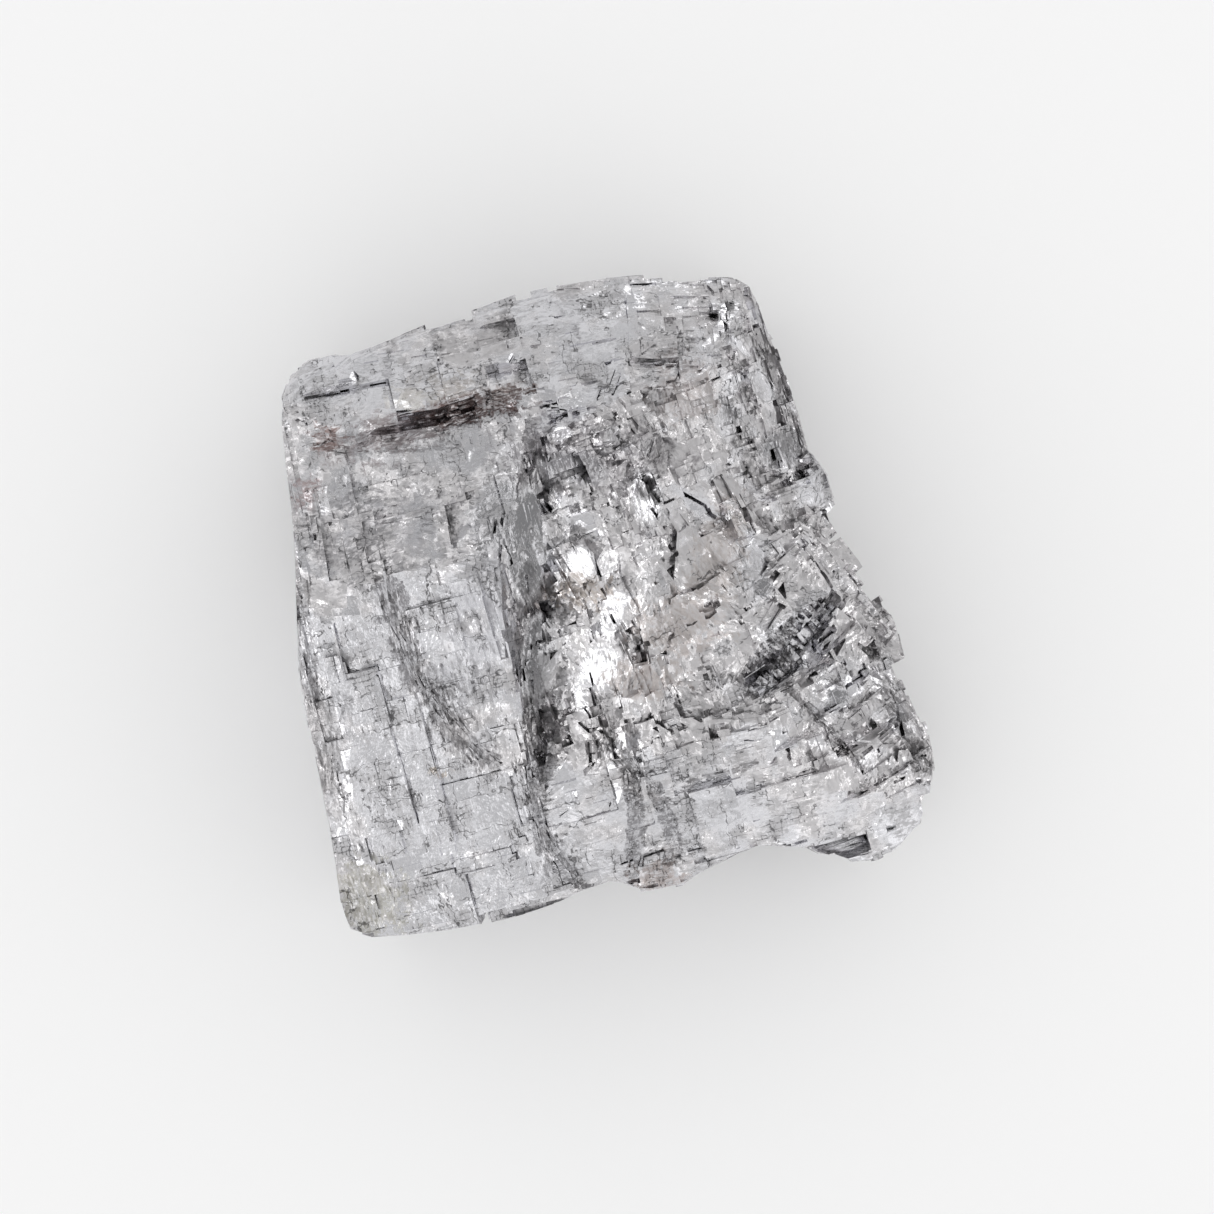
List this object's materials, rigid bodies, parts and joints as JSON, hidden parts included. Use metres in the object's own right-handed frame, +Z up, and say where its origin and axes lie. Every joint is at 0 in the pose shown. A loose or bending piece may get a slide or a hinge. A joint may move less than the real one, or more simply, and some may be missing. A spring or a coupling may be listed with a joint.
{
  "type": "raw galena chunk",
  "caption": "Hand-sized cleavage chunk of raw galena: a blocky lead-grey crystal mass with stepped right-angled faces and a deep valley, lying on its flattest face.",
  "frame": {"origin": "middle of the bounding box's lowest face, on the resting face", "axes": "+Z up away from the resting face, through the chunk's thinnest extent; +Y towards the sloping slab at the back, +X towards the trenched corner"},
  "size_m": [0.0664, 0.067, 0.0332],
  "materials": {
    "galena": "bright metallic lead-grey cleavage faces with fine right-angled cracks, dull grey recesses and a brown iron-stained crack"
  },
  "bodies": {
    "root": {"galena": "galena"}
  },
  "joints": []
}
